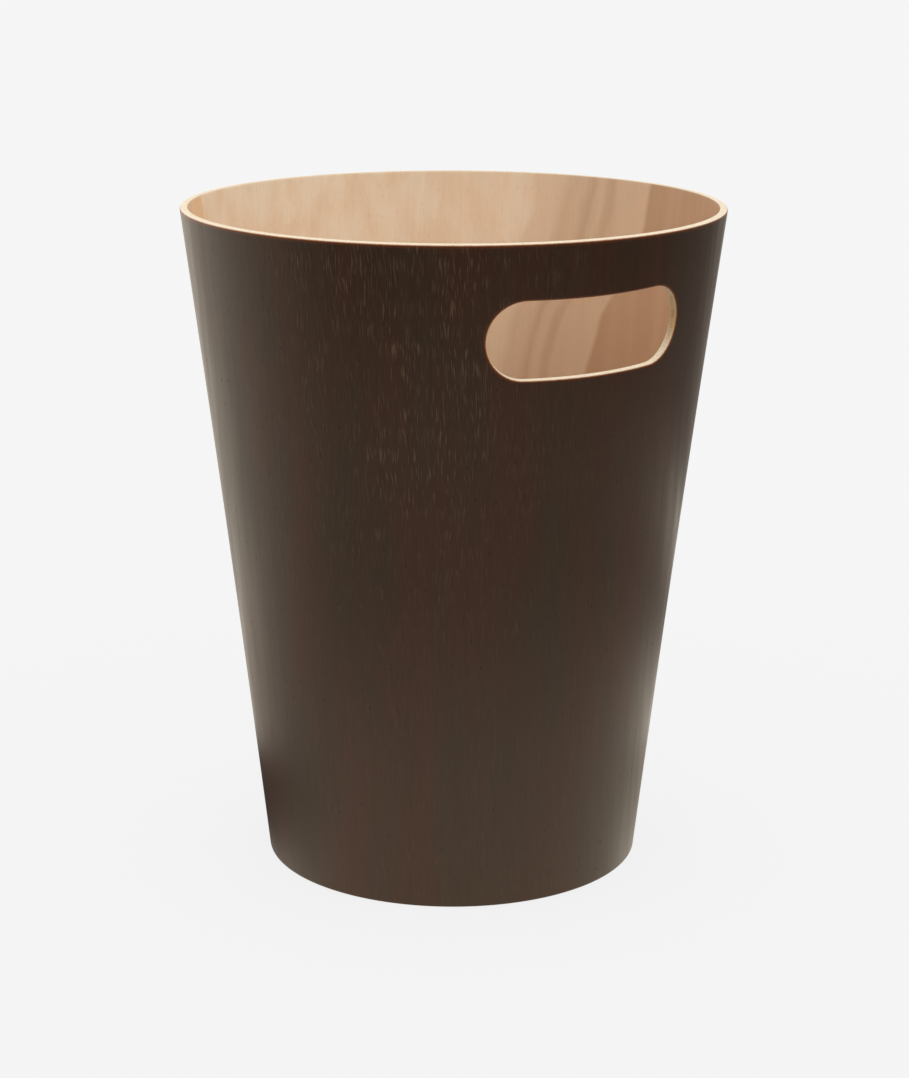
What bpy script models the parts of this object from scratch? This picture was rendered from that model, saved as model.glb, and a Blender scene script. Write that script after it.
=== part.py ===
"""A tapered wastebasket of bent, laminated veneer, with a hand slot and a plywood base.

The wall is three veneers glued one inside the other, each wrapped round with its own upright seam.
The base is a plywood disc of five veneers, wedged and glued in the taper just above the floor.
Metres, +Z up. The origin is on the floor, on the bin's axis, and the hand slot faces -Y.
Azimuths run from -Y towards +X. A depth is measured into the wall, square to its outer face.
"""

import math

import bmesh
import bpy
from mathutils import Matrix

# Overall size of the wall, over its outer face. The bin is wider at the top than at the bottom,
# and its height is that of the rim's outer arris.
HEIGHT = 0.2835
TOP_RADIUS = 0.1146
BOTTOM_RADIUS = 0.0809

# The wall's three veneers, with the glue between them, and the gap where a veneer's two ends meet.
# The arrises of the rim, foot and slot are rounded, and the face veneers stop just above the core.
WALL_VENEER = 0.0009
GLUE_LINE = 0.0003
SEAM_GAP = 0.0003
EDGE_ROUNDING = 0.0007
FACE_FOOT_STEP = 0.0002
OUTER_SEAM_AZIMUTH = math.radians(180.0)
CORE_SEAM_AZIMUTH = math.radians(95.0)
INNER_SEAM_AZIMUTH = math.radians(-133.0)

# The hand slot, laid out on the flat sheet before it is bent. The drop runs down the slope from
# the rim to the slot's middle, and the tilt lifts its +X end.
SLOT_LENGTH = 0.0910
SLOT_WIDTH = 0.0319
SLOT_DROP = 0.0387
SLOT_TILT = math.radians(0.9)

# The base: five veneers, with the underside held up off the floor by the recess.
BASE_VENEER = 0.0010
BASE_RECESS = 0.0060
BASE_FIT = 0.0003

# How finely round shapes are divided.
WRAP_STEPS = 96
ROUNDING_STEPS = 4
SLOT_END_STEPS = 8
SLOT_SIDE_STEPS = 8

# Worked out from the sizes above.
WALL = 3 * WALL_VENEER + 2 * GLUE_LINE
VENEER_PITCH = WALL_VENEER + GLUE_LINE
TAPER = math.atan((TOP_RADIUS - BOTTOM_RADIUS) / HEIGHT)
APEX_Z = -BOTTOM_RADIUS / math.tan(TAPER)
RIM_SLANT = (HEIGHT - APEX_Z) / math.cos(TAPER)
BASE_PITCH = BASE_VENEER + GLUE_LINE
CUTTER_OVERSHOOT = WALL

STAINED_WOOD = ("stained_veneer", (0.045, 0.026, 0.018), 0.38)
NATURAL_WOOD = ("natural_veneer", (0.62, 0.42, 0.26), 0.50)
CORE_WOOD = ("core_veneer", (0.48, 0.28, 0.15), 0.60)
CROSSBAND_WOOD = ("crossband_veneer", (0.52, 0.34, 0.20), 0.60)


def remove_all_objects():
    for old in list(bpy.data.objects):
        bpy.data.objects.remove(old, do_unlink=True)


def wood_material(name, colour, roughness):
    """A matt or satin wood of one colour, made once and then shared."""
    material = bpy.data.materials.get(name)
    if material is None:
        material = bpy.data.materials.new(name)
        material.use_nodes = True
        shader = material.node_tree.nodes["Principled BSDF"]
        shader.inputs["Base Color"].default_value = (*colour, 1.0)
        shader.inputs["Roughness"].default_value = roughness
        shader.inputs["Metallic"].default_value = 0.0
    return material


def add_object(name, mesh_maker, parent, wood=None):
    """Turn a bmesh into a named object under the parent, with its faces pointing out."""
    bmesh.ops.recalc_face_normals(mesh_maker, faces=mesh_maker.faces)
    mesh = bpy.data.meshes.new(name)
    mesh_maker.to_mesh(mesh)
    mesh_maker.free()
    piece = bpy.data.objects.new(name, mesh)
    piece.parent = parent
    bpy.context.collection.objects.link(piece)
    if wood is not None:
        mesh.materials.append(wood_material(*wood))
        mesh.shade_smooth()
        mesh.set_sharp_from_angle(angle=math.radians(30))
    return piece


def wall_radius(depth, z):
    """The wall's radius at a height, at this depth below its outer face."""
    outer = BOTTOM_RADIUS + (TOP_RADIUS - BOTTOM_RADIUS) * z / HEIGHT
    return outer - depth / math.cos(TAPER)


def section_point(slant, depth):
    """Radius and height of a point this far down the outer face's slope from the apex."""
    radius = slant * math.sin(TAPER) - depth * math.cos(TAPER)
    return radius, APEX_Z + slant * math.cos(TAPER) + depth * math.sin(TAPER)


def edge_setback(depth):
    """How far the wall's rounded edge has drawn back at this depth. Both arrises are rounded."""
    to_face = min(max(min(depth, WALL - depth), 0.0), EDGE_ROUNDING)
    from_centre = EDGE_ROUNDING - to_face
    return EDGE_ROUNDING - math.sqrt(EDGE_ROUNDING ** 2 - from_centre ** 2)


def rounding_depths():
    """Depths of the points that draw both rounded arrises, from the outer face to the inner."""
    steps = range(ROUNDING_STEPS + 1)
    turns = [0.5 * math.pi * step / ROUNDING_STEPS for step in steps]
    near = [EDGE_ROUNDING * (1.0 - math.cos(turn)) for turn in turns]
    return near + [WALL - depth for depth in reversed(near)]


def veneer_profile(outer_depth, inner_depth, foot_step):
    """Radius and height of the points round a wall veneer's section, from its foot to its rim.

    The foot is cut level, to stand on the floor, and the rim is cut square to the sheet.
    """
    between = [depth for depth in rounding_depths() if outer_depth < depth < inner_depth]
    depths = [outer_depth, *between, inner_depth]
    foot_heights = [foot_step + edge_setback(depth) for depth in depths]
    foot = [(wall_radius(depth, z), z) for depth, z in zip(depths, foot_heights)]
    rim = [section_point(RIM_SLANT - edge_setback(depth), depth) for depth in reversed(depths)]
    return foot + rim


def add_wall_veneer(name, order, seam_azimuth, foot_step, wood, slot_cutter, parent):
    """One wrapped veneer, counted inwards by its order, cut through by the hand slot."""
    outer_depth = order * VENEER_PITCH
    profile = veneer_profile(outer_depth, outer_depth + WALL_VENEER, foot_step)
    sheet = bmesh.new()
    section = sheet.faces.new([sheet.verts.new((radius, 0.0, z)) for radius, z in profile])
    seam_angle = SEAM_GAP / BOTTOM_RADIUS
    to_seam = Matrix.Rotation(seam_azimuth - math.pi / 2 + seam_angle / 2, 3, "Z")
    bmesh.ops.rotate(sheet, verts=sheet.verts, cent=(0.0, 0.0, 0.0), matrix=to_seam)
    bmesh.ops.spin(
        sheet, geom=[section, *section.edges, *section.verts], cent=(0.0, 0.0, 0.0),
        axis=(0.0, 0.0, 1.0), angle=2 * math.pi - seam_angle, steps=WRAP_STEPS)
    veneer = add_object(name, sheet, parent, wood)
    slot = veneer.modifiers.new("hand_slot", "BOOLEAN")
    slot.operation = "DIFFERENCE"
    slot.solver = "EXACT"
    slot.object = slot_cutter
    return veneer


def slot_outline(setback):
    """The slot's outline on the flat sheet, grown by the setback: upper points and lower points.

    Both lists run from one end to the other, so that upper and lower points pair up.
    """
    radius = SLOT_WIDTH / 2 + setback
    straight = SLOT_LENGTH / 2 - SLOT_WIDTH / 2
    end_turns = [0.5 * math.pi * step / SLOT_END_STEPS for step in range(1, SLOT_END_STEPS + 1)]
    end = [(straight + radius * math.cos(turn), radius * math.sin(turn)) for turn in end_turns]
    side_steps = range(1, SLOT_SIDE_STEPS)
    side = [(straight * (1.0 - 2.0 * step / SLOT_SIDE_STEPS), radius) for step in side_steps]
    upper = [(-along, across) for along, across in end] + side[::-1] + end[::-1]
    lower = [(along, -across) for along, across in upper]
    tips = [(-straight - radius, 0.0), (straight + radius, 0.0)]
    return upper, lower, tips


def bent_point(along, across, depth):
    """Where a point of the slot's flat outline goes when the sheet is bent round the bin."""
    across_sheet = along * math.cos(SLOT_TILT) - across * math.sin(SLOT_TILT)
    up_sheet = along * math.sin(SLOT_TILT) + across * math.cos(SLOT_TILT)
    up_sheet += RIM_SLANT - SLOT_DROP
    azimuth = math.atan2(across_sheet, up_sheet) / math.sin(TAPER)
    radius, z = section_point(math.hypot(across_sheet, up_sheet), depth)
    return radius * math.sin(azimuth), -radius * math.cos(azimuth), z


def add_slot_cutter(parent):
    """A curved plug in the shape of the slot, flared at both faces to round the slot's edges."""
    plug = bmesh.new()
    depths = [-CUTTER_OVERSHOOT, *rounding_depths(), WALL + CUTTER_OVERSHOOT]
    rings = []
    for depth in depths:
        upper, lower, tips = slot_outline(edge_setback(depth))
        rows = [
            [plug.verts.new(bent_point(along, across, depth)) for along, across in row]
            for row in (upper, lower, tips)]
        rings.append(rows)
    loops = [[tips[0], *upper, tips[1], *reversed(lower)] for upper, lower, tips in rings]
    for outside, inside in zip(loops, loops[1:]):
        for here in range(len(outside)):
            plug.faces.new((outside[here - 1], outside[here], inside[here], inside[here - 1]))
    for upper, lower, tips in (rings[0], rings[-1]):
        plug.faces.new((tips[0], upper[0], lower[0]))
        plug.faces.new((tips[1], upper[-1], lower[-1]))
        for left in range(len(upper) - 1):
            plug.faces.new((upper[left], upper[left + 1], lower[left + 1], lower[left]))
    bmesh.ops.triangulate(plug, faces=plug.faces)
    cutter = add_object("hand_slot_cutter", plug, parent)
    cutter.hide_render = True
    cutter.display_type = "WIRE"
    return cutter


def add_base_veneer(name, order, wood, parent):
    """One disc of the base, counted upwards by its order, with an edge that follows the taper."""
    foot_z = BASE_RECESS + order * BASE_PITCH
    disc = bmesh.new()
    bmesh.ops.create_cone(
        disc, cap_ends=True, segments=WRAP_STEPS, depth=BASE_VENEER,
        radius1=wall_radius(WALL, foot_z) - BASE_FIT,
        radius2=wall_radius(WALL, foot_z + BASE_VENEER) - BASE_FIT)
    veneer = add_object(name, disc, parent, wood)
    veneer.location.z = foot_z + BASE_VENEER / 2
    return veneer


def build_wastebasket():
    """The wall's three veneers, from the outside in, and the base's five, from the floor up."""
    bin_frame = bpy.data.objects.new("wastebasket", None)
    bpy.context.collection.objects.link(bin_frame)
    slot_cutter = add_slot_cutter(bin_frame)
    wall_veneers = (
        ("wall_outer_veneer", OUTER_SEAM_AZIMUTH, FACE_FOOT_STEP, STAINED_WOOD),
        ("wall_core_veneer", CORE_SEAM_AZIMUTH, 0.0, CORE_WOOD),
        ("wall_inner_veneer", INNER_SEAM_AZIMUTH, FACE_FOOT_STEP, NATURAL_WOOD))
    for order, (name, seam_azimuth, foot_step, wood) in enumerate(wall_veneers):
        add_wall_veneer(name, order, seam_azimuth, foot_step, wood, slot_cutter, bin_frame)
    base_veneers = (
        ("base_bottom_veneer", NATURAL_WOOD),
        ("base_lower_crossband", CROSSBAND_WOOD),
        ("base_core_veneer", CORE_WOOD),
        ("base_upper_crossband", CROSSBAND_WOOD),
        ("base_top_veneer", NATURAL_WOOD))
    for order, (name, wood) in enumerate(base_veneers):
        add_base_veneer(name, order, wood, bin_frame)


remove_all_objects()
build_wastebasket()
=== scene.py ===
"""A tapered wastebasket of bent, laminated veneer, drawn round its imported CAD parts.

Metres, +Z up, in the frame of the CAD. The hand slot faces -Y, and azimuths run from -Y towards +X.
A slant is a distance down the wall's slope from the cone's apex, and a depth is measured into the
wall, square to its outer face.
"""
import math

import bpy
import numpy as np
from mathutils import Matrix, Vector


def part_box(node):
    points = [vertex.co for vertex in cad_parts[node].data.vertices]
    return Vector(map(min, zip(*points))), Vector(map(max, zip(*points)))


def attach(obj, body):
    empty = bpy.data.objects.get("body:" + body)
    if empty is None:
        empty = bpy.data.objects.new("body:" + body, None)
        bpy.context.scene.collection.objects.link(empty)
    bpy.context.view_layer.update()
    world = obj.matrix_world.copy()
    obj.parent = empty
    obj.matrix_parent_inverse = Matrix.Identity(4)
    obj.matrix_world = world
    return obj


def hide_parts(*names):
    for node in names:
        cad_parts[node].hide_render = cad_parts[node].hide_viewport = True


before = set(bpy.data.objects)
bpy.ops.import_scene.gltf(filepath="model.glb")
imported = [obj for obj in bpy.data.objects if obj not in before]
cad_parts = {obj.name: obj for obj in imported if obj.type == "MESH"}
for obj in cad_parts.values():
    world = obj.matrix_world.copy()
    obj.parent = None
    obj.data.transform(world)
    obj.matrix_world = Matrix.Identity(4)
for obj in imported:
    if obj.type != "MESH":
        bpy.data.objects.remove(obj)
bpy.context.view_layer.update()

# ---------------------------------------------------------------- sizes
# The wall, as in the CAD, and the visual model's tighter glue lines and seams.
WALL = 0.0033
EDGE_ROUNDING = 0.0007
GLUE_LINE = 0.00003
SEAM_GAP = 0.00012
WALL_VENEER = (WALL - 2 * GLUE_LINE) / 3
FACE_FOOT_STEP = 0.0002
BOW = 0.0007
SEAM_AZIMUTHS = {"outer": -180.0, "core": -265.0, "inner": -133.0}

# The hand slot, on the flat sheet. SLOT_CORNERS are where its four sides meet, in degrees round its
# end arcs, and OUTLINE_STEPS is how finely a side is drawn before its points are spaced evenly.
SLOT_LENGTH = 0.0910
SLOT_WIDTH = 0.0319
SLOT_DROP = 0.0387
SLOT_TILT = math.radians(0.9)
SLOT_CORNERS = (225.0, 315.0, 405.0, 495.0, 585.0)
OUTLINE_STEPS = 400

# The lattice that each veneer is drawn on: columns round the bin, rows up it, and a patch of rings
# round the slot. EDGE_ROWS are the rows' distances from the rounded edges, and RING_SHARES are how
# far each ring lies from the slot towards the patch's edge.
COLUMNS = 240
ROUNDING_STEPS = 8
EDGE_ROWS = (0.0012, 0.0030, 0.0070)
PATCH_HALF_AZIMUTH = math.radians(33.0)
PATCH_HALF_HEIGHT = 0.0270
PATCH_ROWS = 14
PLAIN_ROW = 0.0200
RING_SHARES = (0.0, 0.05, 0.16, 0.34, 0.60)

# The base's discs: their eased corners, as shares of the easing inwards and upwards, and the rings
# that their flat faces are drawn on, as shares of the radius.
PLY_EASE = 0.0002
PLY_CORNER = ((1.0, 0.0), (0.3, 0.3), (0.0, 1.0))
DISC_SEGMENTS = 240
DISC_RINGS = (0.25, 0.5, 0.75, 0.93)

# Edges that turn more than this are drawn sharp.
SMOOTH_ANGLE = math.radians(35.0)

# ---------------------------------------------------------------- the wall's cone, from the frame


def ring_of(node, low, high):
    """Radius and height of the widest vertex that a CAD node has between two heights."""
    points = [v.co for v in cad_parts[node].data.vertices if low <= v.co.z <= high]
    widest = max(points, key=lambda point: math.hypot(point.x, point.y))
    return math.hypot(widest.x, widest.y), widest.z


def find_cone():
    """The outer face's taper and apex height, and the slant of its rim, from the outer veneer."""
    low_corner, high_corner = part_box("wall_outer_veneer")
    foot_radius, foot_z = ring_of("wall_outer_veneer", low_corner.z, low_corner.z + WALL)
    rim_radius, rim_z = ring_of("wall_outer_veneer", high_corner.z - WALL, high_corner.z)
    taper = math.atan((rim_radius - foot_radius) / (rim_z - foot_z))
    apex_z = foot_z - foot_radius / math.tan(taper)
    rim_slant = (rim_z - apex_z) / math.cos(taper) + EDGE_ROUNDING
    return taper, apex_z, rim_slant


TAPER, APEX_Z, RIM_SLANT = find_cone()
FLOOR_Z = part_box("wall_core_veneer")[0].z


def section_point(slant, depth):
    """Radius and height of a point of the wall's section, if the wall were straight."""
    radius = slant * math.sin(TAPER) - depth * math.cos(TAPER)
    return radius, APEX_Z + slant * math.cos(TAPER) + depth * math.sin(TAPER)


def bow_at(slant):
    """How far the wall bows in at this slant, which is most at half height."""
    share = (RIM_SLANT - slant) / (RIM_SLANT - slant_at(FLOOR_Z, 0.0))
    return BOW * np.sin(math.pi * np.clip(share, 0.0, 1.0))


def slant_at(z, depth):
    """The slant at which the wall reaches a height, at this depth."""
    return (z - APEX_Z - depth * math.sin(TAPER)) / math.cos(TAPER)


def edge_setback(depth):
    """How far the wall's rounded edge has drawn back at this depth."""
    to_face = min(max(min(depth, WALL - depth), 0.0), EDGE_ROUNDING)
    from_centre = EDGE_ROUNDING - to_face
    return EDGE_ROUNDING - math.sqrt(EDGE_ROUNDING ** 2 - from_centre ** 2)


def rounding_depths():
    """Depths of the points that draw both rounded arrises, from the outer face to the inner."""
    steps = range(ROUNDING_STEPS + 1)
    turns = [0.5 * math.pi * step / ROUNDING_STEPS for step in steps]
    near = [EDGE_ROUNDING * (1.0 - math.cos(turn)) for turn in turns]
    return near + [WALL - depth for depth in reversed(near)]


# ---------------------------------------------------------------- the lattice of one veneer


def slot_side(start_turn, end_turn, count, setback):
    """Points along a side of the slot's flat outline, evenly spaced between two turns of its ends.

    A side runs anticlockwise, along the end arcs and any straight stretch between them.
    """
    radius = SLOT_WIDTH / 2 + setback
    straight = SLOT_LENGTH / 2 - SLOT_WIDTH / 2
    fine = np.linspace(start_turn, end_turn, OUTLINE_STEPS)
    along = np.where(np.cos(fine) >= 0, straight, -straight) + radius * np.cos(fine)
    across = radius * np.sin(fine)
    travelled = np.concatenate([[0.0], np.cumsum(np.hypot(np.diff(along), np.diff(across)))])
    wanted = np.linspace(0.0, travelled[-1], count + 1)[:-1]
    along = np.interp(wanted, travelled, along)
    across = np.interp(wanted, travelled, across)
    return np.column_stack([along, across])


def slot_loop(side_counts, setback):
    """The slot's outline as azimuths and slants, anticlockwise from its lower left corner."""
    corners = np.radians(SLOT_CORNERS)
    sides = [
        slot_side(corners[side], corners[side + 1], count, setback)
        for side, count in enumerate(side_counts)]
    along, across = np.concatenate(sides).T
    across_sheet = along * math.cos(SLOT_TILT) - across * math.sin(SLOT_TILT)
    up_sheet = along * math.sin(SLOT_TILT) + across * math.cos(SLOT_TILT) + RIM_SLANT - SLOT_DROP
    azimuth = np.arctan2(across_sheet, up_sheet) / math.sin(TAPER)
    return np.column_stack([azimuth, np.hypot(across_sheet, up_sheet)])


def row_slants(depth, foot_step):
    """Slants of the lattice's rows, and the first and last of those that bound the slot's patch."""
    foot = slant_at(FLOOR_Z + foot_step + edge_setback(depth), depth)
    rim = RIM_SLANT - edge_setback(depth)
    fixed_foot = slant_at(FLOOR_Z, 0.0) + EDGE_ROUNDING
    fixed_rim = RIM_SLANT - EDGE_ROUNDING
    patch_middle = RIM_SLANT - SLOT_DROP
    patch = np.linspace(
        patch_middle - PATCH_HALF_HEIGHT, patch_middle + PATCH_HALF_HEIGHT, PATCH_ROWS + 1)
    lower = [fixed_foot + row for row in EDGE_ROWS]
    plain_count = round((patch[0] - lower[-1]) / PLAIN_ROW)
    plain = np.linspace(lower[-1], patch[0], plain_count + 1)[1:-1]
    upper = [fixed_rim - row for row in reversed(EDGE_ROWS)]
    slants = np.concatenate([[foot], lower, plain, patch, upper, [rim]])
    first = 1 + len(lower) + len(plain)
    return slants, first, first + PATCH_ROWS


def column_azimuths(kind):
    """Azimuths of the lattice's columns, from one side of the veneer's seam round to the other."""
    start = math.radians(SEAM_AZIMUTHS[kind])
    half_gap = SEAM_GAP / (2 * section_point(RIM_SLANT, 0.0)[0])
    azimuths = np.linspace(start + half_gap, start + 2 * math.pi - half_gap, COLUMNS + 1)
    first = int(np.argmin(np.abs(azimuths + PATCH_HALF_AZIMUTH)))
    last = int(np.argmin(np.abs(azimuths - PATCH_HALF_AZIMUTH)))
    return azimuths, first, last


def patch_edge(grid, rows, columns):
    """The lattice's values round the slot's patch, anticlockwise from its lower left corner."""
    return np.concatenate([
        grid[rows[0], columns[0]:columns[1]], grid[rows[0]:rows[1], columns[1]],
        grid[rows[1], columns[1]:columns[0]:-1], grid[rows[1]:rows[0]:-1, columns[0]]])


def patch_sides(rows, columns):
    """How many steps each side of the slot's patch has, in the order of patch_edge."""
    across, up = columns[1] - columns[0], rows[1] - rows[0]
    return across, up, across, up


def lattice_faces(row_count, rows, columns):
    """The lattice's quads, its outer loop and its slot loop, as indices into lattice_points.

    rows and columns are the first and last of those that bound the patch.
    """
    grid = np.arange(row_count * (COLUMNS + 1)).reshape(row_count, COLUMNS + 1)
    faces = [
        (grid[r, c], grid[r, c + 1], grid[r + 1, c + 1], grid[r + 1, c])
        for r in range(row_count - 1) for c in range(COLUMNS)
        if not (rows[0] <= r < rows[1] and columns[0] <= c < columns[1])]
    patch_loop = patch_edge(grid, rows, columns)
    length = len(patch_loop)
    rings = [grid.size + length * ring + np.arange(length) for ring in range(len(RING_SHARES))]
    for inside, outside in zip(rings, rings[1:] + [patch_loop]):
        for here in range(length):
            there = (here + 1) % length
            faces.append((outside[here], outside[there], inside[there], inside[here]))
    outer_loop = np.concatenate([
        grid[0, :-1], grid[:-1, -1], grid[-1, :0:-1], grid[:0:-1, 0]])
    return faces, outer_loop, rings[0]


def lattice_points(azimuths, slants, rows, columns, setback):
    """Azimuth and slant of every point of the lattice: the grid, and then the slot's rings."""
    grid = np.stack(np.meshgrid(azimuths, slants), axis=-1)
    patch_loop = patch_edge(grid, rows, columns)
    slot = slot_loop(patch_sides(rows, columns), setback)
    rings = [slot + (patch_loop - slot) * share for share in RING_SHARES]
    return np.concatenate([grid.reshape(-1, 2), *rings])


def bend(points, depth):
    """Places of lattice points on the bin, at this depth below the outer face."""
    azimuth, slant = points.T
    radius, z = section_point(slant, depth)
    radius = radius - bow_at(slant)
    return np.column_stack([radius * np.sin(azimuth), -radius * np.cos(azimuth), z])


def add_mesh(name, points, faces, attributes):
    """A smooth-shaded object, without loose points, that stores the attributes of each point."""
    used = np.unique(np.concatenate([np.ravel(face) for face in faces]))
    new_index = np.full(len(points), -1)
    new_index[used] = np.arange(len(used))
    mesh = bpy.data.meshes.new(name)
    mesh.from_pydata(points[used].tolist(), [], [new_index[list(face)].tolist() for face in faces])
    for label, values in attributes.items():
        kind, field = ("FLOAT_VECTOR", "vector") if values.ndim == 2 else ("FLOAT", "value")
        layer = mesh.attributes.new(label, kind, "POINT")
        layer.data.foreach_set(field, values[used].astype(np.float32).ravel())
    mesh.shade_smooth()
    mesh.set_sharp_from_angle(angle=SMOOTH_ANGLE)
    mesh.update()
    piece = bpy.data.objects.new(name, mesh)
    bpy.context.scene.collection.objects.link(piece)
    return piece


# ---------------------------------------------------------------- what the points store

# Where each veneer's grain runs straight up.
GRAIN_AZIMUTHS = {"outer": -48.0, "core": -48.0, "inner": 120.0}

# The outer face's flecks: the azimuth where they are strongest and how fast they thin out round the
# bin, in degrees, how far below the rim they start, the height over which they reach their full
# strength, and their strength elsewhere.
FLECK_AZIMUTH = -38.0
FLECK_SPREAD = 26.0
FLECK_DROP = 0.1700
FLECK_RISE = 0.1300
FLECK_LEAST = 0.14

# The inner face's bands: how far round they have swayed low down, the slant and the reach of that
# change, and how far they lean for each metre below the rim.
SWAY = math.radians(10.6)
SWAY_SLANT = RIM_SLANT - 0.0480
SWAY_REACH = 0.0100
LEAN = math.radians(55.0)

# Stain that is left at the edge of the rim and the slot, and that is lost at the foot.
WORN_STAIN = 0.72
FOOT_WEAR = 0.45

# How closely end grain keeps to the slot's two ends.
END_GRAIN_POWER = 4

# Sets the noise of one ply of the base apart from the next one's, in noise units to a metre.
PLY_SPACING = 1000.0


def flat_grain(points, kind, order):
    """Where points lie across and along the grain of the flat sheet, with the veneer's order."""
    azimuth, slant = points.T
    turn = (azimuth - math.radians(GRAIN_AZIMUTHS[kind])) * math.sin(TAPER)
    return np.column_stack([slant * np.sin(turn), slant * np.cos(turn), np.full(len(turn), order)])


def figure_of(points, kind):
    """How strongly the outer face is flecked, or where round the inner face's bands points lie."""
    azimuth, slant = points.T
    if kind != "inner":
        turn = azimuth - math.radians(FLECK_AZIMUTH)
        from_middle = np.degrees((turn + math.pi) % math.tau - math.pi)
        height = np.clip((slant - RIM_SLANT + FLECK_DROP) / FLECK_RISE, 0.0, 1.0)
        beside = np.exp(-(from_middle / FLECK_SPREAD) ** 2)
        return FLECK_LEAST + (1.0 - FLECK_LEAST) * height * beside
    sway = SWAY / (1.0 + np.exp((slant - SWAY_SLANT) / SWAY_REACH)) + LEAN * (RIM_SLANT - slant)
    return (azimuth - sway - math.radians(SEAM_AZIMUTHS["inner"])) / math.tau


def stain_of(count, depth, row_count, loop_length):
    """How much stain the points at one depth carry: all on a face, less at foot, rim and slot."""
    turned = math.acos(1.0 - min(depth, EDGE_ROUNDING) / EDGE_ROUNDING) / (0.5 * math.pi)
    grid_count = row_count * (COLUMNS + 1)
    worn = max(WORN_STAIN - turned, 0.0)
    stain = np.ones(count)
    stain[:COLUMNS + 1] = 1.0 - FOOT_WEAR * turned ** 2
    stain[grid_count - COLUMNS - 1:grid_count] = worn
    stain[grid_count:grid_count + loop_length] = worn
    return stain


def end_grain_of(count, grid_count, side_counts):
    """How far each point of an edge is cut across its veneer's grain."""
    lengthwise = np.zeros(count)
    turns = np.concatenate([
        np.linspace(start, start + 90.0, steps, endpoint=False)
        for start, steps in zip(SLOT_CORNERS, side_counts)])
    cut_across = np.abs(np.cos(np.radians(turns))) ** END_GRAIN_POWER
    lengthwise[grid_count:grid_count + len(turns)] = cut_across
    return lengthwise


def wall_veneer(name, kind, order, foot_step):
    """One veneer of the wall as a closed, thin shell with rounded edges."""
    outer_depth = order * (WALL_VENEER + GLUE_LINE)
    inner_depth = outer_depth + WALL_VENEER
    between = [depth for depth in rounding_depths() if outer_depth < depth < inner_depth]
    azimuths, *columns = column_azimuths(kind)
    layers, stored = [], {"grain": [], "edge": [], "figure": [], "stain": [], "end_grain": []}
    loops = None
    for depth in (outer_depth, *between, inner_depth):
        slants, *rows = row_slants(depth, foot_step)
        if loops is None:
            faces, *loops = lattice_faces(len(slants), rows, columns)
        points = lattice_points(azimuths, slants, rows, columns, edge_setback(depth))
        count, grid_count = len(points), len(slants) * (COLUMNS + 1)
        layers.append(bend(points, depth))
        stored["grain"].append(flat_grain(points, kind, order))
        stored["edge"].append(np.full(count, 1.0 - edge_setback(depth) / EDGE_ROUNDING))
        stored["figure"].append(figure_of(points, kind))
        stored["stain"].append(stain_of(count, depth, len(slants), len(loops[1])))
        stored["end_grain"].append(end_grain_of(count, grid_count, patch_sides(rows, columns)))
    count = len(layers[0])
    last = count * (len(layers) - 1)
    all_faces = [tuple(face) for face in faces]
    all_faces += [tuple(index + last for index in reversed(face)) for face in faces]
    for step in range(len(layers) - 1):
        start, end = count * step, count * (step + 1)
        for loop, turn in zip(loops, (1, -1)):
            for here in range(len(loop)):
                a, b = loop[here], loop[(here + turn) % len(loop)]
                all_faces.append((a + start, a + end, b + end, b + start))
    return add_mesh(name, np.concatenate(layers), all_faces, {
        label: np.concatenate(values) for label, values in stored.items()})


def base_ply_disc(node, grain_turn):
    """One veneer of the base: a disc with eased edges that fits the tapered wall closely."""
    low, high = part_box(node)
    eased = [(inset * PLY_EASE, rise * PLY_EASE) for inset, rise in PLY_CORNER]
    corners = [(low.z + rise, inset) for inset, rise in eased]
    corners += [(high.z - rise, inset) for inset, rise in reversed(eased)]
    rings = []
    for z, inset in corners:
        slant = slant_at(z, WALL)
        radius = section_point(slant, WALL)[0] - bow_at(slant) - GLUE_LINE - inset
        rings.append((radius, z))
    rings = [(rings[0][0] * share, low.z) for share in DISC_RINGS] + rings
    rings += [(rings[-1][0] * share, high.z) for share in reversed(DISC_RINGS)]
    turns = np.linspace(0.0, math.tau, DISC_SEGMENTS, endpoint=False)
    points = [np.column_stack([
        radius * np.sin(turns), -radius * np.cos(turns), np.full(DISC_SEGMENTS, z)])
        for radius, z in rings]
    points = np.concatenate(points + [np.array([[0.0, 0.0, low.z], [0.0, 0.0, high.z]])])
    faces = []
    bottom, top = len(points) - 2, len(points) - 1
    last = DISC_SEGMENTS * (len(rings) - 1)
    for here in range(DISC_SEGMENTS):
        there = (here + 1) % DISC_SEGMENTS
        faces.append((bottom, there, here))
        faces.append((top, last + here, last + there))
        for ring in range(len(rings) - 1):
            inside, outside = DISC_SEGMENTS * ring, DISC_SEGMENTS * (ring + 1)
            faces.append((inside + here, inside + there, outside + there, outside + here))
    turned = Matrix.Rotation(math.radians(grain_turn), 3, "Z")
    grain = points @ np.array(turned).T
    grain[:, 2] = low.z * PLY_SPACING
    return add_mesh(node.replace("veneer", "ply") + "_disc", points, faces, {
        "grain": grain, "end_grain": np.zeros(len(points)), "edge": np.zeros(len(points))})


# ---------------------------------------------------------------- shader nodes

# How far a seed moves a texture, and how rough the noise is.
NOISE_SHIFT = (7.3, 3.1, 1.7)
PIT_SHIFT = (5.9, 2.3, 1.0)
NOISE_ROUGHNESS = 0.55

# A pore is full this near to its cell's middle, and gone this far from it, in cells.
PIT_CENTRE = 0.10
PIT_RIM = 0.22


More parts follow.
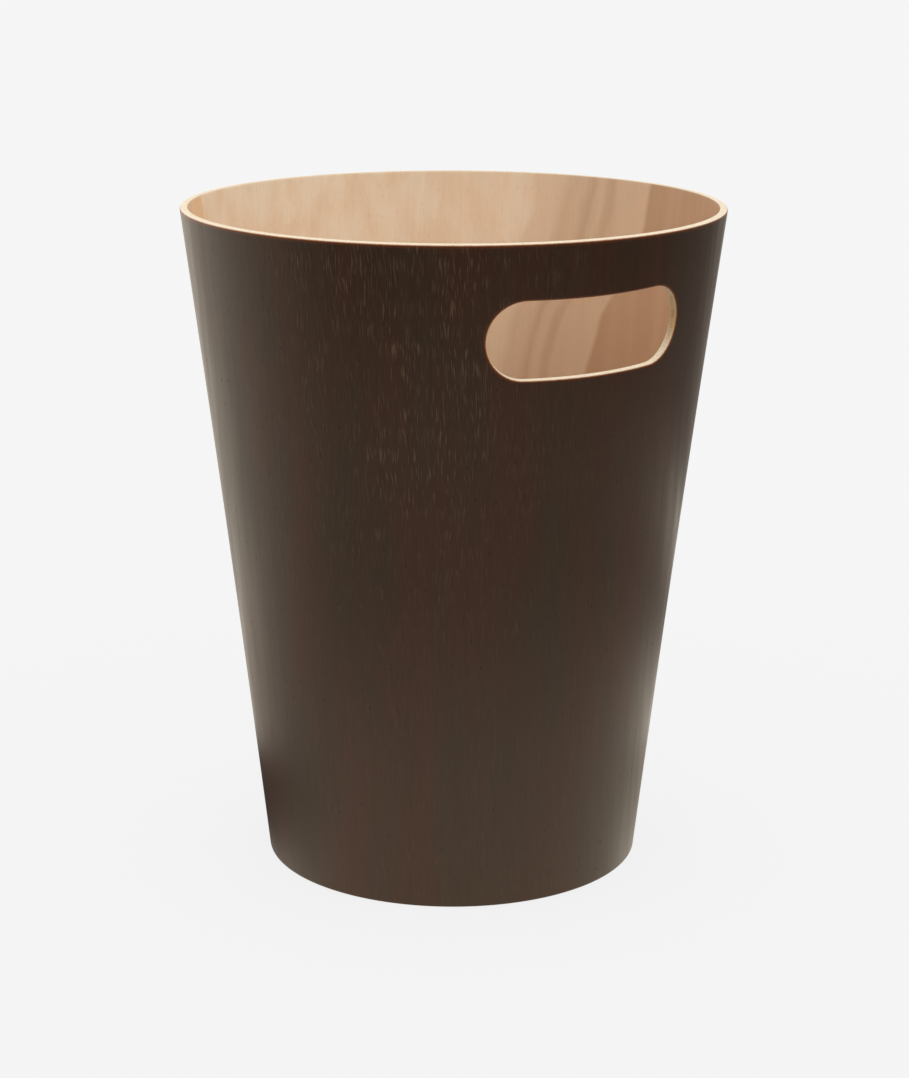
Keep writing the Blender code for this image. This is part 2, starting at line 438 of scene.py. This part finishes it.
class Nodes:
    """Adds linked nodes to one shader tree. An input is a number, a colour or another socket."""

    def __init__(self, tree):
        self.tree = tree
        tree.nodes.clear()

    def add(self, kind, output, inputs=None, **settings):
        """One node of this kind, with its inputs set or linked, and one of its outputs."""
        node = self.tree.nodes.new(kind)
        for name, value in settings.items():
            setattr(node, name, value)
        for name, value in (inputs or {}).items():
            if isinstance(value, bpy.types.NodeSocket):
                self.tree.links.new(value, node.inputs[name])
            else:
                node.inputs[name].default_value = value
        return node.outputs[output]

    def stored(self, label, output):
        """A value that the mesh stores for each point."""
        return self.add("ShaderNodeAttribute", output, attribute_name=label)

    def maths(self, operation, *values):
        """An arithmetic operation on one, two or three values."""
        return self.add("ShaderNodeMath", "Value", dict(enumerate(values)), operation=operation)

    def fade(self, value, low, high, start=0.0, end=1.0):
        """A smooth change from start to end while a value goes from low to high."""
        return self.add("ShaderNodeMapRange", "Result", {
            "Value": value, "From Min": low, "From Max": high, "To Min": start, "To Max": end,
        }, interpolation_type="SMOOTHSTEP")

    def blend(self, factor, first, second, kind="MIX"):
        """A mix of two colours."""
        return self.add(
            "ShaderNodeMix", 2, {0: factor, 6: first, 7: second},
            data_type="RGBA", blend_type=kind)

    def stretch(self, place, across, along, seed, shift):
        """The same places, counted in cells this wide across the grain and this long along it."""
        return self.add("ShaderNodeMapping", "Vector", {
            "Vector": place, "Location": tuple(seed * step for step in shift),
            "Scale": (1.0 / across, 1.0 / along, 1.0)})

    def noise(self, place, across, along, seed, detail=2.0):
        """Noise whose blobs are about this wide across the grain and this long along it."""
        stretched = self.stretch(place, across, along, seed, NOISE_SHIFT)
        return self.add("ShaderNodeTexNoise", "Fac", {
            "Vector": stretched, "Scale": 1.0, "Detail": detail, "Roughness": NOISE_ROUGHNESS})

    def swing(self, value, amount):
        """A value from 0 to 1, made to swing this much in all to both sides of 0."""
        return self.maths("MULTIPLY", self.maths("SUBTRACT", value, 0.5), amount)

    def wander(self, place, across, along, amount, seed):
        """The same places, pushed a little across the grain by slow noise."""
        push = self.swing(self.noise(place, across, along, seed, 1.0), 2.0 * amount)
        shift = self.add("ShaderNodeCombineXYZ", "Vector", {"X": push})
        return self.add("ShaderNodeVectorMath", "Vector", {0: place, 1: shift}, operation="ADD")

    def pits(self, place, across, along, share, seed):
        """Scattered pores: 1 in the middle of each and 0 outside."""
        stretched = self.stretch(place, across, along, seed, PIT_SHIFT)
        cells = self.tree.nodes.new("ShaderNodeTexVoronoi")
        cells.voronoi_dimensions = "2D"
        cells.inputs["Scale"].default_value = 1.0
        self.tree.links.new(stretched, cells.inputs["Vector"])
        chosen = self.add("ShaderNodeSeparateXYZ", "X", {"Vector": cells.outputs["Color"]})
        return self.maths(
            "MULTIPLY", self.fade(cells.outputs["Distance"], PIT_CENTRE, PIT_RIM, 1.0, 0.0),
            self.maths("LESS_THAN", chosen, share))

    def bump(self, height, depth, normal=None):
        """A normal that this height, from 0 to 1, bends over this depth in metres."""
        inputs = {"Height": height, "Distance": depth, "Strength": 1.0}
        if normal:
            inputs["Normal"] = normal
        return self.add("ShaderNodeBump", "Normal", inputs)

    def finish_surface(self, colour, roughness, normal, **uniform):
        """The surface shader, with its even settings on its own sockets."""
        inputs = {"Base Color": colour, "Roughness": roughness, "Normal": normal}
        inputs.update({name.replace("_", " "): value for name, value in uniform.items()})
        surface = self.add("ShaderNodeBsdfPrincipled", "BSDF", inputs)
        output = self.tree.nodes.new("ShaderNodeOutputMaterial")
        self.tree.links.new(surface, output.inputs["Surface"])


def tint(red, green, blue):
    """A colour, linear, with full alpha."""
    return (red, green, blue, 1.0)


def new_material(name):
    """An empty material and the maker of its nodes."""
    material = bpy.data.materials.new(name)
    material.use_nodes = True
    return material, Nodes(material.node_tree)


# ---------------------------------------------------------------- materials

# Wood where it is cut: the cream of the rim, its pores, and the darker ends of the slot.
CREAM_CUT = tint(0.596, 0.536, 0.432)
CUT_PORES = tint(0.52, 0.38, 0.22)
SIDE_CUT = tint(0.49, 0.330, 0.165)

# The stained face, from its body to its pores, and the fringe where the stain soaked into a cut.
STAIN_RED = tint(0.0405, 0.0149, 0.0072)
STAIN_OLIVE = tint(0.0325, 0.0174, 0.0085)
STAIN_FIBRE = tint(0.012, 0.006, 0.004)
STAIN_FLECK = tint(0.104, 0.068, 0.043)
STAIN_PORE = tint(0.008, 0.005, 0.004)
FRINGE_ORANGE = tint(0.400, 0.170, 0.060)
FRINGE_BROWN = tint(0.130, 0.036, 0.012)

# Bare birch, and the plywood's pores. The two band colours hold both the birch's real bands and
# painted light and shade: the dark one is also painted shade, the pale one also painted light.
BAND_DARK_AND_SHADE = tint(0.43, 0.260, 0.158)
BAND_PALE_AND_LIGHT = tint(0.83, 0.685, 0.520)
SEAM_GLOW = tint(0.80, 0.53, 0.300)
CLOUD = tint(0.69, 0.44, 0.245)
FIBRE = tint(0.40, 0.24, 0.14)
FLECK = tint(0.33, 0.17, 0.09)
BOARD_DARK = tint(0.54, 0.35, 0.215)
BOARD_PALE = tint(0.70, 0.51, 0.34)
PLY_PORE = tint(0.22, 0.115, 0.050)

# How deep the wood's fibres and its slow waves are, in metres.
FIBRE_DEPTH = 0.00003
WAVE_DEPTH = 0.00005


def cut_wood(nodes, place, seed):
    """Colour of veneer cut across or along its grain: cream, with fine brown pores."""
    speckle = nodes.fade(nodes.noise(place, 0.0009, 0.0009, seed, 3.0), 0.56, 0.74)
    return nodes.blend(nodes.maths("MULTIPLY", speckle, 0.75), CREAM_CUT, CUT_PORES)


def stained_material():
    """Open-pored veneer, stained nearly black-brown, with the bare wood showing where it is cut."""
    material, nodes = new_material("stained_veneer")
    flat = nodes.stored("grain", "Vector")
    place = nodes.wander(flat, 0.012, 0.045, 0.0011, 1.0)
    slanted = nodes.wander(place, 0.0050, 0.0150, 0.0014, 11.0)
    fibres = nodes.noise(place, 0.0007, 0.016, 2.0, 3.0)
    lines = nodes.noise(slanted, 0.00046, 0.0085, 3.0, 1.0)
    patches = nodes.fade(nodes.noise(flat, 0.010, 0.035, 4.0), 0.40, 0.60)
    figured = nodes.stored("figure", "Fac")
    strength = nodes.maths(
        "MULTIPLY", nodes.maths("ADD", nodes.maths("MULTIPLY", patches, 0.6), 0.4), figured)
    flecks = nodes.maths("MULTIPLY", nodes.fade(lines, 0.54, 0.71), strength)
    pores = nodes.pits(place, 0.0016, 0.0050, 0.02, 5.0)

    mottle = nodes.noise(flat, 0.022, 0.120, 6.0)
    body = nodes.blend(nodes.fade(mottle, 0.35, 0.65), STAIN_RED, STAIN_OLIVE)
    body = nodes.blend(nodes.fade(fibres, 0.30, 0.70, 0.24, 0.0), body, STAIN_FIBRE)
    body = nodes.blend(nodes.maths("MULTIPLY", flecks, 0.85), body, STAIN_FLECK)
    body = nodes.blend(nodes.maths("MULTIPLY", pores, 0.8), body, STAIN_PORE)

    stain = nodes.stored("stain", "Fac")
    ragged = nodes.maths(
        "ADD", stain, nodes.swing(nodes.noise(place, 0.0014, 0.0014, 7.0), 0.25))
    sideways = nodes.stored("end_grain", "Fac")
    cut = nodes.blend(sideways, cut_wood(nodes, flat, 8.0), SIDE_CUT)
    fringe = nodes.blend(nodes.fade(ragged, 0.04, 0.26), cut, FRINGE_ORANGE)
    fringe = nodes.blend(nodes.fade(ragged, 0.30, 0.54), fringe, FRINGE_BROWN)
    colour = nodes.blend(nodes.fade(ragged, 0.52, 1.00), fringe, body)

    gloss_patches = nodes.noise(flat, 0.006, 0.060, 9.0)
    roughness = nodes.maths("ADD", nodes.fade(gloss_patches, 0.3, 0.7, 0.28, 0.36), nodes.maths(
        "MULTIPLY", nodes.maths("ADD", pores, nodes.maths("MULTIPLY", flecks, 0.4)), 0.25))
    waves = nodes.bump(nodes.noise(flat, 0.0060, 0.120, 10.0, 1.0), WAVE_DEPTH)
    relief = nodes.maths("SUBTRACT", fibres, pores)
    nodes.finish_surface(
        colour, roughness, nodes.bump(relief, FIBRE_DEPTH, waves), Specular_IOR_Level=0.30)
    return material


# Lightness of the inner face's growth bands, by the share of a turn from its seam. These tones are
# partly the real bands and partly painted light and shade: darkest from about 0.54 to 0.64 of a
# turn, where the inner face looks towards -X, as painted shade, and palest from 0.84 on, round the
# back, as painted light.
BAND_AND_SHADE_TONES = (
    (0.000, 0.46), (0.080, 0.50), (0.086, 0.56), (0.170, 0.62), (0.173, 0.80), (0.260, 0.70),
    (0.264, 0.50), (0.350, 0.42), (0.353, 0.62), (0.440, 0.30), (0.480, 0.14), (0.540, 0.00),
    (0.638, 0.02), (0.640, 0.34), (0.670, 0.31), (0.672, 0.19), (0.676, 0.22), (0.678, 0.38),
    (0.685, 0.33), (0.686, 0.18), (0.691, 0.22), (0.692, 0.39), (0.706, 0.35), (0.708, 0.54),
    (0.728, 0.60), (0.730, 0.78), (0.790, 0.86), (0.840, 1.00), (1.000, 1.00))


def natural_material():
    """Bare birch veneer: broad leaning bands, whose tones also hold painted shade and painted
    light, fine flecks, and a dull, waxed face.
    """
    material, nodes = new_material("natural_veneer")
    flat = nodes.stored("grain", "Vector")
    place = nodes.wander(flat, 0.010, 0.030, 0.0008, 21.0)
    fibres = nodes.noise(place, 0.0008, 0.020, 22.0, 3.0)
    flecks = nodes.fade(nodes.noise(place, 0.0006, 0.0035, 23.0, 1.0), 0.62, 0.74)
    bands = nodes.stored("figure", "Fac")
    wavy = nodes.maths(
        "ADD", bands, nodes.swing(nodes.noise(flat, 0.030, 0.022, 24.0, 1.0), 0.010))
    ramp = nodes.tree.nodes.new("ShaderNodeValToRGB")
    nodes.tree.links.new(wavy, ramp.inputs["Fac"])
    stops = ramp.color_ramp.elements
    for place_in_turn, band_and_shade_tone in BAND_AND_SHADE_TONES:
        element = stops.new(place_in_turn)
        element.color = tint(band_and_shade_tone, band_and_shade_tone, band_and_shade_tone)
    stops.remove(stops[0])
    band_and_shade_tone = nodes.maths(
        "ADD", ramp.outputs["Color"], nodes.swing(nodes.noise(flat, 0.012, 0.20, 25.0), 0.25))
    # Painted light and shade: besides the real bands, the tone darkens the inner face towards -X
    # and lightens it round the back.
    face = nodes.blend(band_and_shade_tone, BAND_DARK_AND_SHADE, BAND_PALE_AND_LIGHT)
    beside_seam = nodes.fade(wavy, 0.010, 0.075, 0.85, 0.0)
    face = nodes.blend(beside_seam, face, SEAM_GLOW)
    clouds = nodes.fade(nodes.noise(flat, 0.012, 0.024, 27.0, 3.0), 0.35, 0.68, 0.0, 0.40)
    face = nodes.blend(nodes.maths("MULTIPLY", clouds, band_and_shade_tone), face, CLOUD)
    face = nodes.blend(nodes.fade(fibres, 0.35, 0.65, 0.06, 0.0), face, FIBRE)
    face = nodes.blend(nodes.maths("MULTIPLY", flecks, 0.16), face, FLECK)
    cut = nodes.blend(nodes.stored("end_grain", "Fac"), cut_wood(nodes, flat, 26.0), SIDE_CUT)
    colour = nodes.blend(nodes.fade(nodes.stored("edge", "Fac"), 0.2, 0.7), face, cut)
    roughness = nodes.fade(fibres, 0.3, 0.7, 0.62, 0.48)
    relief = nodes.maths("SUBTRACT", fibres, nodes.maths("MULTIPLY", flecks, 0.5))
    normal = nodes.bump(relief, FIBRE_DEPTH)
    nodes.finish_surface(colour, roughness, normal, Specular_IOR_Level=0.35)
    return material


def plain_ply_material(name, dark, light, seed):
    """Veneer of the plywood's inside, whose edge shows its pores."""
    material, nodes = new_material(name)
    flat = nodes.stored("grain", "Vector")
    place = nodes.wander(flat, 0.012, 0.040, 0.0008, seed + 1.0)
    fibres = nodes.noise(place, 0.0008, 0.020, seed + 2.0, 3.0)
    face = nodes.blend(nodes.fade(fibres, 0.3, 0.7), dark, light)
    end_grain = nodes.stored("end_grain", "Fac")
    pores = nodes.fade(nodes.noise(place, 0.0006, 0.0006, seed + 3.0, 2.0), 0.35, 0.70, 0.45, 0.80)
    colour = nodes.blend(nodes.maths("MULTIPLY", end_grain, pores), face, PLY_PORE)
    roughness = nodes.fade(fibres, 0.3, 0.7, 0.75, 0.60)
    nodes.finish_surface(
        colour, roughness, nodes.bump(fibres, FIBRE_DEPTH), Specular_IOR_Level=0.25)
    return material


def board_face_material():
    """Birch face of the base's plywood, sanded and sealed."""
    material, nodes = new_material("board_face")
    flat = nodes.stored("grain", "Vector")
    place = nodes.wander(flat, 0.030, 0.060, 0.0040, 41.0)
    growth = nodes.noise(place, 0.0050, 0.150, 42.0, 2.0)
    fibres = nodes.noise(place, 0.0008, 0.020, 43.0, 3.0)
    flecks = nodes.fade(nodes.noise(place, 0.0006, 0.0035, 44.0, 1.0), 0.62, 0.74)
    face = nodes.blend(nodes.fade(growth, 0.35, 0.62), BOARD_DARK, BOARD_PALE)
    face = nodes.blend(nodes.fade(fibres, 0.35, 0.65, 0.15, 0.0), face, FIBRE)
    face = nodes.blend(nodes.maths("MULTIPLY", flecks, 0.3), face, FLECK)
    roughness = nodes.fade(fibres, 0.3, 0.7, 0.65, 0.50)
    nodes.finish_surface(face, roughness, nodes.bump(fibres, FIBRE_DEPTH), Specular_IOR_Level=0.35)
    return material


# ---------------------------------------------------------------- the pieces

outer_veneer = wall_veneer("wall_outer_shell", "outer", 0, FACE_FOOT_STEP)
core_veneer = wall_veneer("wall_core_shell", "core", 1, 0.0)
inner_veneer = wall_veneer("wall_inner_shell", "inner", 2, FACE_FOOT_STEP)
outer_veneer.data.materials.append(stained_material())
crossband = plain_ply_material("core_veneer", tint(0.60, 0.49, 0.34), tint(0.70, 0.60, 0.44), 60.0)
core_veneer.data.materials.append(crossband)
inner_veneer.data.materials.append(natural_material())

for shell, node, slot in (
        (outer_veneer, "wall_outer_veneer", "stained_veneer"),
        (core_veneer, "wall_core_veneer", "core_veneer"),
        (inner_veneer, "wall_inner_veneer", "natural_veneer")):
    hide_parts(node)
    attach(shell, "root")

board_face = board_face_material()
base_ply = plain_ply_material("base_ply", tint(0.44, 0.28, 0.16), tint(0.58, 0.40, 0.24), 80.0)
for node, slot, material, grain_turn in (
        ("base_bottom_veneer", "natural_veneer", board_face, 90.0),
        ("base_lower_crossband", "crossband_veneer", base_ply, 0.0),
        ("base_core_veneer", "core_veneer", base_ply, 90.0),
        ("base_upper_crossband", "crossband_veneer", base_ply, 0.0),
        ("base_top_veneer", "natural_veneer", board_face, 90.0)):
    disc = base_ply_disc(node, grain_turn)
    disc.data.materials.append(material)
    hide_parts(node)
    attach(disc, "root")

# ---------------------------------------------------------------- the studio

CAMERA_AZIMUTH = math.radians(-30.3)
CAMERA_DISTANCE = 1.0949
CAMERA_HEIGHT = 0.4327
CAMERA_PITCH = math.radians(15.07)
CAMERA_YAW = math.radians(0.0415)
CAMERA_ROLL = math.radians(0.20)
CAMERA_LENS = 87.19
SENSOR_WIDTH = 36.0
NEAREST_SEEN = 0.05

# The backdrop and the floor as the eye sees them, and how much of the light the floor throws back.
BACKDROP = 0.913
FLOOR_SIZE = 60.0
FLOOR_GLOW = 0.827
FLOOR_SHADE = tint(0.060, 0.062, 0.065)

# The studio's lit walls: their azimuths, and how they fade with the cosine of the angle from them.
# WALL_LIGHT is the light of the front, left and right sides. On the floor the same three change
# with the distance from the bin: (metres, front, left, right).
LEFT_WALL = -165.0
LEFT_WALL_FADE = (-0.05, 0.95)
RIGHT_WALL = 120.0
RIGHT_WALL_FADE = (0.15, 0.96)
ZENITH_FADE = (0.02, 0.42)
WALL_LIGHT = (0.02, 1.04, 0.14)
FLOOR_LIGHT = (
    (0.145, 1.12, 0.00, 0.60), (0.200, 1.09, 0.82, 1.15), (0.370, 0.38, 1.08, 0.26),
    (0.60, *WALL_LIGHT))
ZENITH_LIGHT = 1.55
WARM_WHITE = tint(1.0, 0.91, 0.755)
SKY_WHITE = tint(1.0, 0.97, 0.93)
PURE_WHITE = tint(1.0, 1.0, 1.0)


def add_camera():
    """A long lens that looks down from above the rim, to the left of the hand slot."""
    data = bpy.data.cameras.new("camera")
    data.lens = CAMERA_LENS
    data.sensor_width = SENSOR_WIDTH
    data.clip_start = NEAREST_SEEN
    camera = bpy.data.objects.new("camera", data)
    camera.location = (
        CAMERA_DISTANCE * math.sin(CAMERA_AZIMUTH), -CAMERA_DISTANCE * math.cos(CAMERA_AZIMUTH),
        FLOOR_Z + CAMERA_HEIGHT)
    turn = Matrix.Rotation(CAMERA_AZIMUTH - CAMERA_YAW, 3, "Z")
    pitch = Matrix.Rotation(math.pi / 2 - CAMERA_PITCH, 3, "X")
    roll = Matrix.Rotation(CAMERA_ROLL, 3, "Z")
    camera.rotation_euler = (turn @ pitch @ roll).to_euler()
    bpy.context.scene.collection.objects.link(camera)
    bpy.context.scene.camera = camera


def towards(nodes, direction, azimuth):
    """How nearly a level direction points to this azimuth: 1 straight at it, -1 straight away."""
    aim = (math.sin(math.radians(azimuth)), -math.cos(math.radians(azimuth)), 0.0)
    return nodes.add(
        "ShaderNodeVectorMath", "Value", {0: direction, 1: aim}, operation="DOT_PRODUCT")


def surround(nodes, position, lights):
    """Brightness of the studio's walls round the bin: a wide white wall behind and to the left,
    a dimmer one at the right rear, and darkness in front."""
    level = nodes.add(
        "ShaderNodeVectorMath", "Vector", {0: position, 1: (1.0, 1.0, 0.0)}, operation="MULTIPLY")
    level = nodes.add("ShaderNodeVectorMath", "Vector", {0: level}, operation="NORMALIZE")
    left = nodes.fade(towards(nodes, level, LEFT_WALL), *LEFT_WALL_FADE)
    right = nodes.fade(towards(nodes, level, RIGHT_WALL), *RIGHT_WALL_FADE)
    right = nodes.maths("MULTIPLY", right, nodes.maths("SUBTRACT", 1.0, left))
    front = nodes.maths("SUBTRACT", nodes.maths("SUBTRACT", 1.0, left), right)
    shares = nodes.add("ShaderNodeCombineXYZ", "Vector", {"X": front, "Y": left, "Z": right})
    return nodes.add(
        "ShaderNodeVectorMath", "Value", {0: shares, 1: lights}, operation="DOT_PRODUCT")


def add_world():
    """An even pale backdrop to the eye, and a softly uneven studio to the surfaces."""
    world = bpy.data.worlds.new("studio")
    bpy.context.scene.world = world
    world.use_nodes = True
    nodes = Nodes(world.node_tree)
    direction = nodes.add("ShaderNodeTexCoord", "Generated")
    height = nodes.add("ShaderNodeSeparateXYZ", "Z", {"Vector": direction})
    overhead = nodes.fade(height, *ZENITH_FADE)
    walls = surround(nodes, direction, WALL_LIGHT)
    light = nodes.maths("ADD", nodes.maths("MULTIPLY", overhead, ZENITH_LIGHT), nodes.maths(
        "MULTIPLY", nodes.maths("SUBTRACT", 1.0, overhead), walls))
    seen = nodes.add("ShaderNodeLightPath", "Is Camera Ray")
    strength = nodes.add(
        "ShaderNodeMix", 0, {0: seen, 2: light, 3: BACKDROP}, data_type="FLOAT")
    warmth = nodes.blend(seen, nodes.blend(overhead, WARM_WHITE, SKY_WHITE), PURE_WHITE)
    sky = nodes.add("ShaderNodeBackground", "Background", {"Color": warmth, "Strength": strength})
    output = nodes.tree.nodes.new("ShaderNodeOutputWorld")
    nodes.tree.links.new(sky, output.inputs["Surface"])


def add_floor():
    """A wide, pale floor that takes only a faint shadow."""
    bpy.ops.mesh.primitive_plane_add(size=FLOOR_SIZE, location=(0.0, 0.0, FLOOR_Z))
    floor = bpy.context.object
    floor.name = "floor"
    material, nodes = new_material("pale_floor")
    position = nodes.add("ShaderNodeNewGeometry", "Position")
    distance = nodes.add("ShaderNodeVectorMath", "Value", {0: position}, operation="LENGTH")
    ramp = nodes.tree.nodes.new("ShaderNodeValToRGB")
    farthest = FLOOR_LIGHT[-1][0]
    nodes.tree.links.new(nodes.maths("DIVIDE", distance, farthest), ramp.inputs["Fac"])
    ramp.color_ramp.interpolation = "EASE"
    stops = ramp.color_ramp.elements
    for radius, *lights in FLOOR_LIGHT:
        stops.new(radius / farthest).color = tint(*lights)
    stops.remove(stops[0])
    spread = surround(nodes, position, ramp.outputs["Color"])
    seen = nodes.add("ShaderNodeLightPath", "Is Camera Ray")
    strength = nodes.add(
        "ShaderNodeMix", 0, {0: seen, 2: spread, 3: FLOOR_GLOW}, data_type="FLOAT")
    warmth = nodes.blend(seen, WARM_WHITE, PURE_WHITE)
    glow = nodes.add("ShaderNodeEmission", "Emission", {"Color": warmth, "Strength": strength})
    matte = nodes.add("ShaderNodeBsdfDiffuse", "BSDF", {"Color": FLOOR_SHADE})
    both = nodes.add("ShaderNodeAddShader", "Shader", {0: glow, 1: matte})
    output = nodes.tree.nodes.new("ShaderNodeOutputMaterial")
    nodes.tree.links.new(both, output.inputs["Surface"])
    floor.data.materials.append(material)


bpy.context.scene.view_settings.view_transform = "Standard"
add_camera()
add_world()
add_floor()
